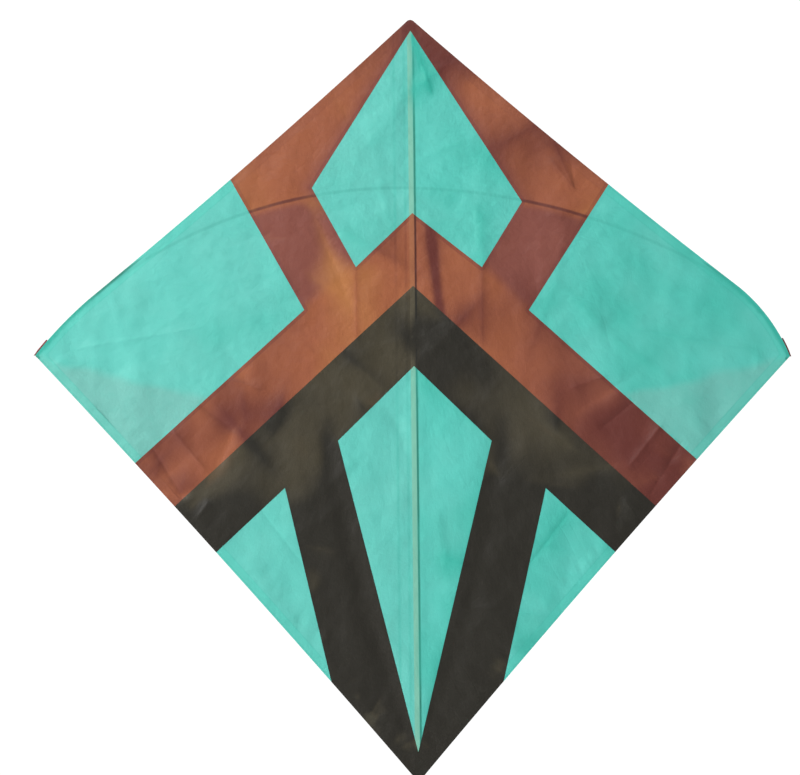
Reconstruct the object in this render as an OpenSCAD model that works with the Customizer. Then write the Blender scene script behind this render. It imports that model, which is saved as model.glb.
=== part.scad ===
// Diamond fighter kite: a sail pasted up from cut tissue paper, on a bamboo spine and a bent bamboo bow.
// Millimetres. x runs across the kite, z up along the spine, and the face looks towards -y.
// The origin is where the bow crosses the spine, on the spine's front face, to which the sail is glued.
// The left and right halves differ a little, as in a kite that is cut and pasted by hand. Where a value in
// square brackets has no words of its own, it is a [left, right] pair, as seen by someone who faces the kite.

/* [Overall] */
// Width from tip to tip
span = 600; // [480:1:740]
// Height of the nose above the crossing
nose_h = 134; // [110:1:165]
// Depth of the tail point below the crossing
tail_h = 474; // [390:1:575]
// Mean depth of the two tips below the crossing
tip_drop = 135; // [110:1:165]
// How much lower the right tip hangs than the left tip
tip_skew = 7; // [0:0.5:12]
// How far the spine stands to the right of the middle of the span
spine_off = 1.25; // [0:0.25:3]

/* [Spine] */
// Width of the spine at the nose
spine_w_nose = 5.5; // [4:0.1:7]
// Width of the spine at the tail
spine_w_tail = 3.6; // [2.5:0.1:4]
// Thickness of the spine
spine_t = 1.8; // [1.4:0.1:2.4]
// Bare paper left beyond the spine at the [nose, tail]
spine_inset = [2, 4]; // [1:0.5:6]

/* [Bow] */
// Diameter of the bow at the lashing
bow_d = 2.6; // [2:0.1:3.2]
// Diameter of the bow at its tips
bow_tip_d = 1.8; // [1.4:0.1:2]
// Slope of the bow where its flat inner arc meets its tighter outer arc, in degrees
bow_bend = [31.8, 28.6]; // [26:0.1:34]
// Slope of the bow at its tip, in degrees
tip_angle = [53, 67]; // [50:1:80]
// Turn of the whole bow at the lashing, in degrees
bow_lean = 2; // [0:0.25:3]
// Length of bow beyond the hem at each tip
bow_out = 0.5; // [0:0.25:3]

/* [Lashing] */
// Thickness of the wound lashing thread
lash_t = 0.5; // [0.3:0.05:0.7]
// Height of each band of turns
lash_band = 1.5; // [1:0.1:3]
// Thickness of the thread bound round each bow tip
binding_t = 0.3; // [0.2:0.02:0.34]
// Length of that binding
binding_l = 3; // [2:0.5:6]
// Distance of that binding from the end of the bow
binding_in = 1; // [0.5:0.5:4]

/* [Sail] */
// Thickness of a sheet of tissue
paper_t = 0.1; // [0.08:0.01:0.15]
// Width of a glued lap between two sheets
lap = 3; // [2:0.5:5]
// Width of the hem that is folded to the back
hem_w = 7; // [5:0.5:10]
// Thickness of the thread inside the hems
edge_thread = 0.5; // [0.3:0.05:0.6]
// Radius of the rounded nose
nose_r = 4; // [3.8:0.1:6]
// How far the trailing edges curve in from a straight line
edge_sag = 2.5; // [0:0.5:10]
// How far each leading edge draws in between the nose and the bow
lead_sag = 2.5; // [0:0.5:5]

/* [Pattern] */
// Height of the top of the upper diamond
diamond_top = 125.5; // [105:0.5:128]
// Distance of the upper diamond's side corners from the spine
diamond_side = [80, 87.5]; // [65:0.5:105]
// Height of the upper diamond's side corners
diamond_side_z = [0, -11]; // [-15:0.5:10]
// Distance of the upper diamond's feet from the spine
diamond_foot = [45.5, 55]; // [38:0.5:66]
// Depth of the upper diamond's feet
diamond_foot_z = 63.2; // [52:0.1:72]
// Depth of the apex of the notch between those feet
chevron_z = 20; // [15:0.5:25]
// Distance from the spine of the point where the arms leave the leading edge
arm_head = [146, 158]; // [125:0.5:180]
// Distance of the arms' outer feet from the spine
arm_foot = [87, 92]; // [75:0.5:105]
// Depth of the arms' outer feet
arm_foot_z = 97.3; // [85:0.1:112]
// Slope of the wing panels' lower edge, in degrees
wing_slope = 41.9; // [39:0.1:44]
// Depth of the apex where black meets brown
black_z = 78; // [65:0.5:94]
// Slope of the line where black meets brown, in degrees
black_slope = 42.5; // [40:0.1:45]
// Depth of the apex of the dart below the black chevron
dart_z = 142; // [120:0.5:170]
// Distance of the dart's side corners from the spine
dart_side = 61.3; // [50:0.1:73]
// Depth of the dart's side corners
dart_side_z = 201.6; // [175:0.1:225]
// Height of the foot of the dart above the tail point
dart_foot_up = 24; // [14:1:40]
// Distance of the legs' outer top corners from the spine
leg_top = 104; // [87:0.5:125]
// Depth of the legs' outer top corners
leg_top_z = 239.2; // [215:0.1:262]
// Slope of the lower panels' upper edge, in degrees
lower_slope = 42.9; // [40:0.1:46]
// Distance of the legs' outer feet from the spine, on the trailing edge
leg_foot = 70; // [58:0.5:84]

/* [Patches] */
// [Half width, half height] of the patch over the top of the spine
nose_patch_size = [13, 17]; // [8:0.5:20]
// [Half width, half height] of the patch over the foot of the spine
tail_patch_size = [9, 17]; // [7:0.5:20]
// [Width, height] of the patches that hold the spine along its length
spine_patch_size = [20, 9]; // [7:0.5:30]
// Heights of those patches, [highest, middle, lowest]
spine_patch_z = [62, -118, -285]; // [-330:1:85]

// Reach of the paper patch over each tip
tip_patch_r = 17; // [12:0.5:24]
// How far that patch stands out past the edge of the sail
tip_patch_out = 1.5; // [0.5:0.1:3]

/* [Joints] */
// Gap between the glued strips on the spine and the sheets of the wings
hinge_gap = 0.3; // [0.2:0.05:0.5]
// Half of the gap in the bow at each hinge line
bow_gap = 0.4; // [0.35:0.05:0.6]

/* [Hidden] */

$fn = 48;
far = 3 * span;
ease = 0.05;                                            // clearance between pieces glued side by side
bow_r = bow_d / 2;
side_clear = spine_w_nose / 2 + lash_t + 2 * ease;      // past the lashing at the spine's edge
strip_w = 2 * side_clear;
hinge_x = side_clear + hinge_gap;                       // the wings bend along x = hinge_x
bow_y = spine_t + bow_r;                                // height of the bow's centre at the lashing
thread_room = edge_thread + 2 * ease;
bow_room = bow_d + 2 * ease;
edge_ease = paper_t + ease;                             // from the outside of the hem to the bow
nose_c = [0, nose_h - nose_r];
tail = [0, -tail_h];
arc_steps = 16;
edge_steps = 14;
bow_steps = 40;
bow_sides = 12;

teal = [0.36, 0.77, 0.72];
brown = [0.56, 0.35, 0.27];
black = [0.23, 0.23, 0.19];
bamboo = [0.80, 0.66, 0.44];
bow_brown = [0.45, 0.24, 0.18];
thread_white = [0.85, 0.82, 0.74];
maroon = [0.42, 0.16, 0.15];

// ---- Plane geometry. Points are [x, z], or [distance from the spine, z] on one half ----

function of_side(pair, s) = s < 0 ? pair[0] : pair[1];
function turned(p, a) = [p[0] * cos(a) - p[1] * sin(a), p[0] * sin(a) + p[1] * cos(a)];
function on_circle(c, r, a) = c + r * [cos(a), sin(a)];
function between(a, b, t) = a + (b - a) * t;
function left_normal(a, b) = let (d = (b - a) / norm(b - a)) [-d[1], d[0]];
function backwards(p) = [for (i = [len(p) - 1 : -1 : 0]) p[i]];

// One half's points on side s, kept clockwise
function on_side(p, s) = s > 0 ? p : backwards([for (q = p) [-q[0], q[1]]]);

// Where two lines meet, each given as a unit normal and a distance from the origin
function meet(n1, c1, n2, c2) = [c1 * n2[1] - c2 * n1[1], n1[0] * c2 - n2[0] * c1]
    / (n1[0] * n2[1] - n2[0] * n1[1]);

// A clockwise outline with every edge moved outwards by d
function grown(p, d) = [for (i = [0 : len(p) - 1])
    let (a = p[(i + len(p) - 1) % len(p)], b = p[i], c = p[(i + 1) % len(p)],
         n1 = left_normal(a, b), n2 = left_normal(b, c))
    meet(n1, n1 * b + d, n2, n2 * b + d)];

// ---- The bow: on each side a flat inner arc and a tighter outer arc, in the bow's own axes ----

function own_tip(s) = turned([span / 2 - s * spine_off, -tip_drop - s * tip_skew / 2], s * bow_lean);
function bend(s) = of_side(bow_bend, s);
function tip_slope(s) = of_side(tip_angle, s);
function arc_det(s) = sin(bend(s)) * (cos(bend(s)) - cos(tip_slope(s)))
    - (1 - cos(bend(s))) * (sin(tip_slope(s)) - sin(bend(s)));
function inner_r(s) = (own_tip(s)[0] * (cos(bend(s)) - cos(tip_slope(s)))
    + own_tip(s)[1] * (sin(tip_slope(s)) - sin(bend(s)))) / arc_det(s);
function outer_r(s) = (-own_tip(s)[1] * sin(bend(s)) - own_tip(s)[0] * (1 - cos(bend(s)))) / arc_det(s);
function outer_c(s) = [0, -inner_r(s)] + (inner_r(s) - outer_r(s)) * [sin(bend(s)), cos(bend(s))];

// ---- The sail's outline on one half: nose, leading edge, bowed edge, trailing edge ----

function edge_c(s) = turned(outer_c(s), -s * bow_lean);
function edge_r(s) = outer_r(s) + bow_r + edge_ease;
function lead_normal(s) = let (d = edge_c(s) - nose_c)
    atan2(d[1], d[0]) + acos((nose_r - edge_r(s)) / norm(d));
function edge_end(s) = 90 - tip_slope(s) - s * bow_lean + bow_out / edge_r(s) * 180 / PI;
function tip_point(s) = on_circle(edge_c(s), edge_r(s), edge_end(s));
function inwards(s) = left_normal(tail, tip_point(s));
function sag_at(t) = 4 * edge_sag * t * (1 - t);
function trail_point(s, t, q) = between(tip_point(s), tail, t) + inwards(s) * (sag_at(t) + q);

// The edge moved in by q, from above the nose to below the tail, both on the spine's line
function edge_path(s, q) = let (
        g = lead_normal(s), n = [cos(g), sin(g)], top = (nose_c * n + nose_r - q) / n[1],
        run = norm(tail - tip_point(s)), down = (tail - tip_point(s)) / run,
        along = [sin(edge_end(s)), -cos(edge_end(s))],
        corner = q / tan(acos(-(along * down)) / 2), at_tip = corner / run,
        at_tail = q / tan(acos(-down[1])) / run, a_end = edge_end(s) + corner / edge_r(s) * 180 / PI)
    concat(
        [[0, top]],
        [for (i = [1 : edge_steps - 1]) let (t = i / edge_steps)
            between([0, top], on_circle(edge_c(s), edge_r(s) - q, g), t) - 4 * lead_sag * t * (1 - t) * n],
        [for (i = [0 : arc_steps]) on_circle(edge_c(s), edge_r(s) - q, between(g, a_end, i / arc_steps))],
        [for (i = [1 : edge_steps - 1]) trail_point(s, between(at_tip, 1 - at_tail, i / edge_steps), q)],
        [[0, tail[1] + q / sin(acos(-down[1]))]]);

// The half outline with the nose rounded off
function half_outline(s) = let (p = edge_path(s, 0)) concat(
    [for (i = [0 : arc_steps - 1]) on_circle(nose_c, nose_r, between(90, lead_normal(s), i / arc_steps))],
    [on_circle(nose_c, nose_r, lead_normal(s))],
    [for (i = [1 : len(p) - 2]) p[i]]);
outline = concat(half_outline(1), [tail],
    [for (p = backwards(half_outline(-1))) if (p[0] > 0) [-p[0], p[1]]]);

// ---- The pattern. The paper is pasted as far out of square as the tips hang ----

function skewed(u, z, s) = [u, z - s * u * tip_skew / span];
function sloping(c, slope, s) = c + far * [1, -tan(slope) - s * tip_skew / span];
function lead_point(u, s) = let (g = lead_normal(s))
    [u, (nose_c * [cos(g), sin(g)] + nose_r - u * cos(g)) / sin(g)];
function trail_at(u, s) = trail_point(s, 1 - u / tip_point(s)[0], 0);

function half_diamond(s) = [
    skewed(of_side(diamond_side, s), of_side(diamond_side_z, s), s),
    skewed(of_side(diamond_foot, s), -diamond_foot_z, s)];
diamond = concat([[0, diamond_top]], half_diamond(1), [[0, -chevron_z]], on_side(half_diamond(-1), -1));
dart = concat([[0, -dart_z], skewed(dart_side, -dart_side_z, 1), [0, -tail_h + dart_foot_up]],
    on_side([skewed(dart_side, -dart_side_z, -1)], -1));

// A corner with its two edges carried on past the sail: up to p and down along a sloping line
function open_corner(c, p, q) = let (u = (p - c) / norm(p - c), v = (q - c) / norm(q - c))
    [c, c + far * u, c + far * (u + v), c + far * v];
function wing_field(s) = let (c = skewed(of_side(arm_foot, s), -arm_foot_z, s))
    on_side(open_corner(c, lead_point(of_side(arm_head, s), s), sloping(c, wing_slope, s)), s);
function lower_field(s) = let (c = skewed(leg_top, -leg_top_z, s))
    on_side(open_corner(c, sloping(c, lower_slope, s), trail_at(leg_foot, s)), s);

black_line_right = sloping([0, -black_z], black_slope, 1);
black_line_left = sloping([0, -black_z], black_slope, -1);
below_line = [[0, -black_z], black_line_right, [far, -2 * far], [-far, -2 * far],
    [-black_line_left[0], black_line_left[1]]];
above_line = [[-far, 2 * far], [far, 2 * far], black_line_right, [0, -black_z],
    [-black_line_left[0], black_line_left[1]]];

module brown_area(low = 0) {
    difference() {
        intersection() { polygon(outline); polygon(grown(above_line, low)); }
        polygon(diamond);
        for (s = [-1, 1]) polygon(wing_field(s));
    }
}
module black_area(top = 0) {
    difference() {
        intersection() { polygon(outline); polygon(grown(below_line, -top)); }
        polygon(dart);
        for (s = [-1, 1]) polygon(lower_field(s));
    }
}
module field_area(field, under = 0) {
    intersection() { polygon(outline); polygon(grown(field, under)); }
}

// ---- Building sheets ----

// Stands a drawing of the sail's plane up, from y0 back to y1
module standing(y0, y1) { translate([0, y1, 0]) rotate([90, 0, 0]) linear_extrude(y1 - y0) children(); }
module wing_side(s) {
    intersection() { children(); translate([s > 0 ? hinge_x : -hinge_x - far, -far]) square([far, 2 * far]); }
}
module on_spine() { intersection() { children(); square([strip_w, 2 * far], center = true); } }

// The part of the edge between two distances in from it
module edge_band(s, q0, q1) {
    difference() { polygon(on_side(edge_path(s, q0), s)); polygon(on_side(edge_path(s, q1), s)); }
}
// The sector in which the bow lies along the edge
module bow_zone(s) {
    c = edge_c(s);
    a = [lead_normal(s), (lead_normal(s) + edge_end(s)) / 2, edge_end(s)];
    polygon(on_side(concat([c], [for (k = a) on_circle(c, far, k)]), s));
}
// Paper folded to the back over an edge, round a space of the given size, with a flap that lies at y = base
module fold(s, front, space, flap, out = 0, base = 0) {
    inner = paper_t + space - out;
    roof = base + space;
    for (v = [[-out, paper_t - out, front, roof + paper_t], [-out, inner + paper_t, roof, roof + paper_t],
              [inner, inner + paper_t, base, roof + paper_t], [inner, inner + flap, base, base + paper_t]])
        standing(v[2], v[3]) intersection() {
            wing_side(s) edge_band(s, v[0], v[1]);
            children();
        }
}
// Thread hems everywhere but along the bow
module thread_hem(s, front) {
    fold(s, front, thread_room, hem_w - thread_room) difference() { children(); bow_zone(s); }
}
// A sheet pasted over the layers behind it, with its hem
module wing_sheet(s, layer, c) {
    front = -(layer + 1) * paper_t;
    color(c) union() {
        standing(front, -layer * paper_t) wing_side(s) children(0);
        thread_hem(s, front) children(1);
    }
}

// ---- Sticks ----

module spine() {
    top = nose_h - spine_inset[0];
    foot = -tail_h + spine_inset[1];
    color(bamboo) difference() {
        standing(0, spine_t) polygon([
            [-spine_w_nose / 2, top], [spine_w_nose / 2, top],
            [spine_w_tail / 2, foot], [-spine_w_tail / 2, foot]]);
        for (k = [-1, 1]) translate([0, 0, k * (bow_r + ease + lash_band / 2)])
            cube([2 * spine_w_nose, 2 * (lash_t + ease), lash_band + 2 * ease], center = true);
    }
}

// The bow's centre line where its slope is a, and its radius there
function bow_point(s, a) = a < bend(s) ? inner_r(s) * [sin(a), cos(a) - 1]
    : outer_c(s) + outer_r(s) * [sin(a), cos(a)];
function bow_radius(s, a) = between(bow_r, bow_tip_d / 2, pow(a / tip_slope(s), 2));

// A round stick swept along the bow's two arcs
module bow_stick(s, start) {
    rings = [for (i = [0 : bow_steps])
        let (a = between(start, tip_slope(s), i / bow_steps), r = bow_radius(s, a))
        for (k = [0 : bow_sides - 1])
            let (w = 360 * k / bow_sides, p = bow_point(s, a) + r * cos(w) * [sin(a), cos(a)])
            [p[0], p[1], r * sin(w)]];
    skin = [for (i = [0 : bow_steps - 1], k = [0 : bow_sides - 1])
        let (b = i * bow_sides, n = (k + 1) % bow_sides)
        [b + k, b + n, b + n + bow_sides, b + k + bow_sides]];
    ends = [[for (k = [bow_sides - 1 : -1 : 0]) k],
        [for (k = [0 : bow_sides - 1]) bow_steps * bow_sides + k]];
    polyhedron(rings, concat(skin, ends));
}
// Turns the bow's own plane into place, dipping to meet the paper at the tip
module bow_place(s) {
    dip = atan((spine_t - ease) / own_tip(s)[0]);
    translate([0, bow_y, 0]) rotate([0, 0, -s * dip]) mirror([s < 0 ? 1 : 0, 0, 0])
        rotate([90, 0, 0]) rotate([0, 0, -s * bow_lean]) children();
}
module bow_half(s) {
    color(bow_brown) bow_place(s) bow_stick(s, asin((hinge_x + bow_gap) / inner_r(s)));
}
module bow_centre() {
    color(bow_brown) translate([0, bow_y, 0]) rotate([0, bow_lean, 0]) rotate([0, 90, 0])
        cylinder(h = 2 * (hinge_x - bow_gap), d = bow_d, center = true);
}

// Turns round the spine above and below the bow, crossing behind it
module bow_lashing() {
    edge = spine_w_nose / 2 + ease;
    out = edge + lash_t;
    z0 = bow_r + ease;
    z1 = z0 + lash_band;
    back = spine_t + bow_d + ease;
    color(thread_white) {
        for (k = [-1, 1]) standing(back, back + lash_t)
            polygon([[-out, -k * z1], [-out, -k * z0], [out, k * z1], [out, k * z0]]);
        for (k = [-1, 1], m = [-1, 1]) mirror([m > 0 ? 0 : 1, 0, 0])
            translate([edge, 0, k > 0 ? z0 : -z1]) cube([lash_t, back + lash_t, lash_band]);
        for (k = [-1, 1]) translate([-out, 0, k > 0 ? z0 : -z1]) cube([2 * out, lash_t, lash_band]);
    }
}

module tip_binding(s) {
    start = 90 - tip_slope(s) + binding_in / outer_r(s) * 180 / PI;
    turn = binding_l / outer_r(s) * 180 / PI;
    hole = bow_radius(s, 90 - start - turn) + ease / 2;
    color(thread_white) bow_place(s) translate([outer_c(s)[0], outer_c(s)[1], 0])
        rotate([0, 0, start]) rotate_extrude(angle = turn, $fn = 96)
            translate([outer_r(s), 0]) difference() { circle(r = hole + binding_t); circle(r = hole); }
}

// ---- Sheets ----

module brown_frame(s) { wing_sheet(s, 1, brown) { brown_area(lap); brown_area(); } }
module upper_diamond(s) { color(teal) standing(-paper_t, 0) wing_side(s) field_area(diamond, lap); }
module dart_half(s) { color(teal) standing(-paper_t, 0) wing_side(s) field_area(dart, lap); }
module lower_panel(s) {
    wing_sheet(s, 0, teal) { field_area(lower_field(s), lap); field_area(lower_field(s)); }
}

// The black sheet steps up over the edge of the brown one
module black_frame(s) {
    wing_sheet(s, 1, black) { black_area(lap); black_area(); }
    color(black) standing(-3 * paper_t, -2 * paper_t) wing_side(s)
        difference() { black_area(); polygon(grown(below_line, -2 * lap)); }
}

// The wing panel's hem is a thread hem along the trailing edge and a sleeve round the bow
module wing_panel(s) {
    wing_sheet(s, 0, teal) { field_area(wing_field(s), lap); field_area(wing_field(s)); }
    color(teal) fold(s, -paper_t, bow_room, hem_w) intersection() { field_area(wing_field(s)); bow_zone(s); }
}

// A patch folded round the tip from behind, over the sleeve, which stands out a little past it
module tip_patch(s) {
    grip = bow_room + tip_patch_out + 2 * (paper_t + ease);
    color(maroon) fold(s, 0, grip, hem_w, tip_patch_out, paper_t) intersection() {
        bow_zone(s);
        translate([s * tip_point(s)[0], tip_point(s)[1]]) circle(r = tip_patch_r);
    }
}

module strip(c) { color(c) standing(-paper_t, 0) on_spine() children(); }

// ---- Threads in the hems ----

module edge_line(s, from_bow) {
    color(thread_white) standing(ease, ease + edge_thread) wing_side(s) intersection() {
        edge_band(s, paper_t + ease, paper_t + ease + edge_thread);
        children();
    }
}
module leading_side(s) {
    c = edge_c(s);
    difference() {
        polygon(on_side([c, on_circle(c, far, edge_end(s)), [far, far], [0, far], [0, 0]], s));
        bow_zone(s);
    }
}
module leading_thread(s) { edge_line(s) leading_side(s); }
module trailing_thread(s) {
    edge_line(s) difference() { square(2 * far, center = true); leading_side(s); bow_zone(s); }
}

// ---- Patches pasted over the spine from behind ----

// A sheet that lies on the sail, climbs the spine's edges and crosses its back
module tent() {
    channel = spine_w_nose + 2 * ease;
    roof = spine_t + ease + paper_t;
    color(teal) union() {
        standing(0, paper_t) difference() { children(); square([channel, 2 * far], center = true); }
        standing(0, roof) difference() {
            intersection() { children(); square([channel + 2 * paper_t, 2 * far], center = true); }
            square([channel, 2 * far], center = true);
        }
        standing(roof - paper_t, roof) intersection() {
            children();
            square([channel + 2 * paper_t, 2 * far], center = true);
        }
    }
}
module lozenge(z, half) {
    translate([0, z]) polygon([[0, half[1]], [half[0], 0], [0, -half[1]], [-half[0], 0]]);
}
module nose_patch() { tent() lozenge(nose_h - nose_patch_size[1] - 2 * hem_w, nose_patch_size); }
module tail_patch() { tent() lozenge(-tail_h + tail_patch_size[1] + 3 * hem_w, tail_patch_size); }
module spine_patches() {
    for (z = spine_patch_z) tent() translate([0, z]) square(spine_patch_size, center = true);
}

spine();
bow_centre();
bow_half(-1);  // bow_left
bow_half(1);  // bow_right
bow_lashing();
nose_patch();
tail_patch();
spine_patches();
strip(teal) field_area(diamond);  // upper_diamond_strip
strip(brown) brown_area();  // brown_strip
strip(black) black_area();  // black_strip
strip(teal) field_area(dart);  // dart_strip
brown_frame(-1);  // brown_frame_left
brown_frame(1);  // brown_frame_right
black_frame(-1);  // black_frame_left
black_frame(1);  // black_frame_right
upper_diamond(-1);  // upper_diamond_left
upper_diamond(1);  // upper_diamond_right
wing_panel(-1);  // wing_panel_left
wing_panel(1);  // wing_panel_right
dart_half(-1);  // dart_left
dart_half(1);  // dart_right
lower_panel(-1);  // lower_panel_left
lower_panel(1);  // lower_panel_right
leading_thread(-1);  // leading_thread_left
leading_thread(1);  // leading_thread_right
trailing_thread(-1);  // trailing_thread_left
trailing_thread(1);  // trailing_thread_right
tip_binding(-1);  // tip_binding_left
tip_binding(1);  // tip_binding_right
tip_patch(-1);  // tip_patch_left
tip_patch(1);  // tip_patch_right
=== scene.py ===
import math
import random

import bpy
import numpy as np
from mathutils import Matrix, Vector, noise
from mathutils.geometry import delaunay_2d_cdt


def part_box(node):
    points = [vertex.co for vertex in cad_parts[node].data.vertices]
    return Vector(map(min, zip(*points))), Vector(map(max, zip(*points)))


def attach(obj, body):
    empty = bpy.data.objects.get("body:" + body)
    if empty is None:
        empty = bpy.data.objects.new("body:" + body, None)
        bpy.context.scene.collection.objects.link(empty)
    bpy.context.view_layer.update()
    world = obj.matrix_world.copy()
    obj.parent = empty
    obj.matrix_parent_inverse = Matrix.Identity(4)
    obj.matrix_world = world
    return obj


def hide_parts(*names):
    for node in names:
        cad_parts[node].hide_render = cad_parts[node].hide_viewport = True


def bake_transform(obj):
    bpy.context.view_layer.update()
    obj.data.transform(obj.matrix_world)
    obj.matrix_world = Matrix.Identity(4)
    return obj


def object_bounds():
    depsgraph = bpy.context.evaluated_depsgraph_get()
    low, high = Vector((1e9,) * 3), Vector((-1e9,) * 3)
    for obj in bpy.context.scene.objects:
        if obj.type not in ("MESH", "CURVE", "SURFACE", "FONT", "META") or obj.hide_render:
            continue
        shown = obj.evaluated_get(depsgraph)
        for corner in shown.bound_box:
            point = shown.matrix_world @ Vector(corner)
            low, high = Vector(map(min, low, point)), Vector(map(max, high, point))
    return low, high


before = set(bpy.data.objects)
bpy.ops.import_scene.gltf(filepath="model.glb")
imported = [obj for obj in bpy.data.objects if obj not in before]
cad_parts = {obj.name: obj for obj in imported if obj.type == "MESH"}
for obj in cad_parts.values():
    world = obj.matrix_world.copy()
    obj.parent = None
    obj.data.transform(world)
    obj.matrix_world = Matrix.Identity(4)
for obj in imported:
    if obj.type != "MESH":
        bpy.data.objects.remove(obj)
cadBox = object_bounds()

# Lengths in the dictionaries are millimetres, x across and z up the spine, with the crossing at 0, 0.
# A pair is (left, right), as seen by someone who faces the kite.
mm = 0.001
left, right = -1, 1


def ofSide(pair, s):
    return pair[0] if s < 0 else pair[1]


def sideName(s):
    return "left" if s < 0 else "right"


kite = dict(
    span=600, noseHeight=134, tailDepth=474, tipDrop=135, tipSkew=7, spineOff=1.25,
    noseRadius=4, edgeSag=2.5, leadSag=2.5, lap=3, hem=7, paper=0.1,
)
bow = dict(
    radius=1.3, tipRadius=0.9, height=3.1, bend=(31.8, 28.6), tipAngle=(53, 67), lean=2,
    pastHem=0.5, edgeGap=0.15, dip=1.75,
)
pattern = dict(
    diamondTop=125.5, diamondSide=((80, 0), (87.5, -11)), diamondFoot=((45.5, -63.2), (55, -63.2)),
    notch=-20, armHead=(146, 158), armFoot=((87, -97.3), (92, -97.3)), wingSlope=41.9,
    blackApex=-78, blackSlope=42.5, dartTop=-142, dartSide=(61.3, -201.6), dartFoot=-450,
    legTop=(104, -239.2), lowerSlope=42.9, legFoot=70,
)
farOff = 3 * kite["span"]


def vec(*p):
    return np.array(p, float)


def turned(p, degrees):
    c, s = math.cos(math.radians(degrees)), math.sin(math.radians(degrees))
    return vec(p[0] * c - p[1] * s, p[0] * s + p[1] * c)


def unit(p):
    return np.asarray(p, float) / np.linalg.norm(p)


def onCircle(centre, r, degrees):
    a = math.radians(degrees)
    return centre + r * vec(math.cos(a), math.sin(a))


def meet(n1, c1, n2, c2):
    return vec(c1 * n2[1] - c2 * n1[1], n1[0] * c2 - n2[0] * c1) / (n1[0] * n2[1] - n2[0] * n1[1])


def grown(points, d):  # a clockwise outline with every edge moved out by d
    pts, made = [vec(*p) for p in points], []
    for i, b in enumerate(pts):
        a, c = pts[i - 1], pts[(i + 1) % len(pts)]
        n1, n2 = unit((a - b)[::-1] * (1, -1)), unit((b - c)[::-1] * (1, -1))
        made.append(meet(n1, n1 @ b + d, n2, n2 @ b + d))
    return made


def mirrored(points):
    return [vec(-p[0], p[1]) for p in reversed(points)]


def onSide(points, s):
    return points if s > 0 else mirrored(points)


class HalfPlan:  # one half's bow and edge, as distance from the spine and height
    def __init__(self, s):
        self.s = s
        self.lean = bow["lean"]
        tip = turned((kite["span"] / 2 - s * kite["spineOff"], -kite["tipDrop"] - s * kite["tipSkew"] / 2),
                     s * self.lean)
        self.bend, self.tipSlope = ofSide(bow["bend"], s), ofSide(bow["tipAngle"], s)
        b, t = math.radians(self.bend), math.radians(self.tipSlope)
        det = math.sin(b) * (math.cos(b) - math.cos(t)) - (1 - math.cos(b)) * (math.sin(t) - math.sin(b))
        self.inner = (tip[0] * (math.cos(b) - math.cos(t)) + tip[1] * (math.sin(t) - math.sin(b))) / det
        self.outer = (-tip[1] * math.sin(b) - tip[0] * (1 - math.cos(b))) / det
        self.outerCentre = vec(0, -self.inner) + (self.inner - self.outer) * vec(math.sin(b), math.cos(b))
        self.dip = math.atan(bow["dip"] / tip[0])
        self.edgeCentre = turned(self.outerCentre, -s * self.lean)
        self.edgeRadius = self.outer + bow["radius"] + bow["edgeGap"]
        self.noseCentre = vec(0, kite["noseHeight"] - kite["noseRadius"])
        d = self.edgeCentre - self.noseCentre
        self.lead = math.degrees(math.atan2(d[1], d[0])
                                 + math.acos((kite["noseRadius"] - self.edgeRadius) / np.linalg.norm(d)))
        self.edgeEnd = 90 - self.tipSlope - s * self.lean + math.degrees(bow["pastHem"] / self.edgeRadius)
        self.tip = onCircle(self.edgeCentre, self.edgeRadius, self.edgeEnd)
        self.tail = vec(0, -kite["tailDepth"])
        run = unit(self.tip - self.tail)
        self.inwards = vec(-run[1], run[0])

    def bowPoint(self, slope):  # x out, y back, z up, in mm
        a = math.radians(slope)
        if slope < self.bend:
            p = self.inner * vec(math.sin(a), math.cos(a) - 1)
        else:
            p = self.outerCentre + self.outer * vec(math.sin(a), math.cos(a))
        p = turned(p, -self.s * self.lean)
        return vec(self.s * p[0], bow["height"] - p[0] * math.sin(self.dip), p[1])

    def bowRadius(self, slope):
        return bow["radius"] + (bow["tipRadius"] - bow["radius"]) * (slope / self.tipSlope) ** 2

    def trail(self, t):
        return self.tip + (self.tail - self.tip) * t + self.inwards * 4 * kite["edgeSag"] * t * (1 - t)

    def leadPoint(self, u):
        n = onCircle(vec(0, 0), 1, self.lead)
        return vec(u, (self.noseCentre @ n + kite["noseRadius"] - u * n[0]) / n[1])

    def edge(self, step):  # the outline from the nose to the tail, with what each point lies along
        pts = [(onCircle(self.noseCentre, kite["noseRadius"], a), "lead")
               for a in np.linspace(90, self.lead, 7)]
        foot = onCircle(self.edgeCentre, self.edgeRadius, self.lead)
        start = pts[-1][0]
        n = int(np.linalg.norm(foot - start) / step)
        out = onCircle(vec(0, 0), 1, self.lead)
        pts += [(start + (foot - start) * t - out * 4 * kite["leadSag"] * t * (1 - t), "lead")
                for t in np.linspace(0, 1, n + 1)[1:]]
        n = int(math.radians(self.lead - self.edgeEnd) * self.edgeRadius / step)
        pts += [(onCircle(self.edgeCentre, self.edgeRadius, a), "bow")
                for a in np.linspace(self.lead, self.edgeEnd, n + 1)[1:]]
        n = int(np.linalg.norm(self.tail - self.tip) / step)
        pts += [(self.trail(t), "trail") for t in np.linspace(0, 1, n + 1)[1:]]
        return pts


plans = {s: HalfPlan(s) for s in (left, right)}
meshStep = 2.7
edges = {s: plans[s].edge(meshStep * 0.8) for s in (left, right)}
outline = ([p for p, _ in edges[right]] + mirrored([p for p, _ in edges[left]])[1:-1])


def skewed(p, s):
    return vec(p[0], p[1] - s * p[0] * kite["tipSkew"] / kite["span"])


def sloping(corner, slope, s):
    return vec(corner[0] + farOff,
               corner[1] - farOff * (math.tan(math.radians(slope)) + s * kite["tipSkew"] / kite["span"]))


def openCorner(c, p, q):
    u, v = unit(p - c), unit(q - c)
    return [c, c + farOff * u, c + farOff * (u + v), c + farOff * v]


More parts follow.
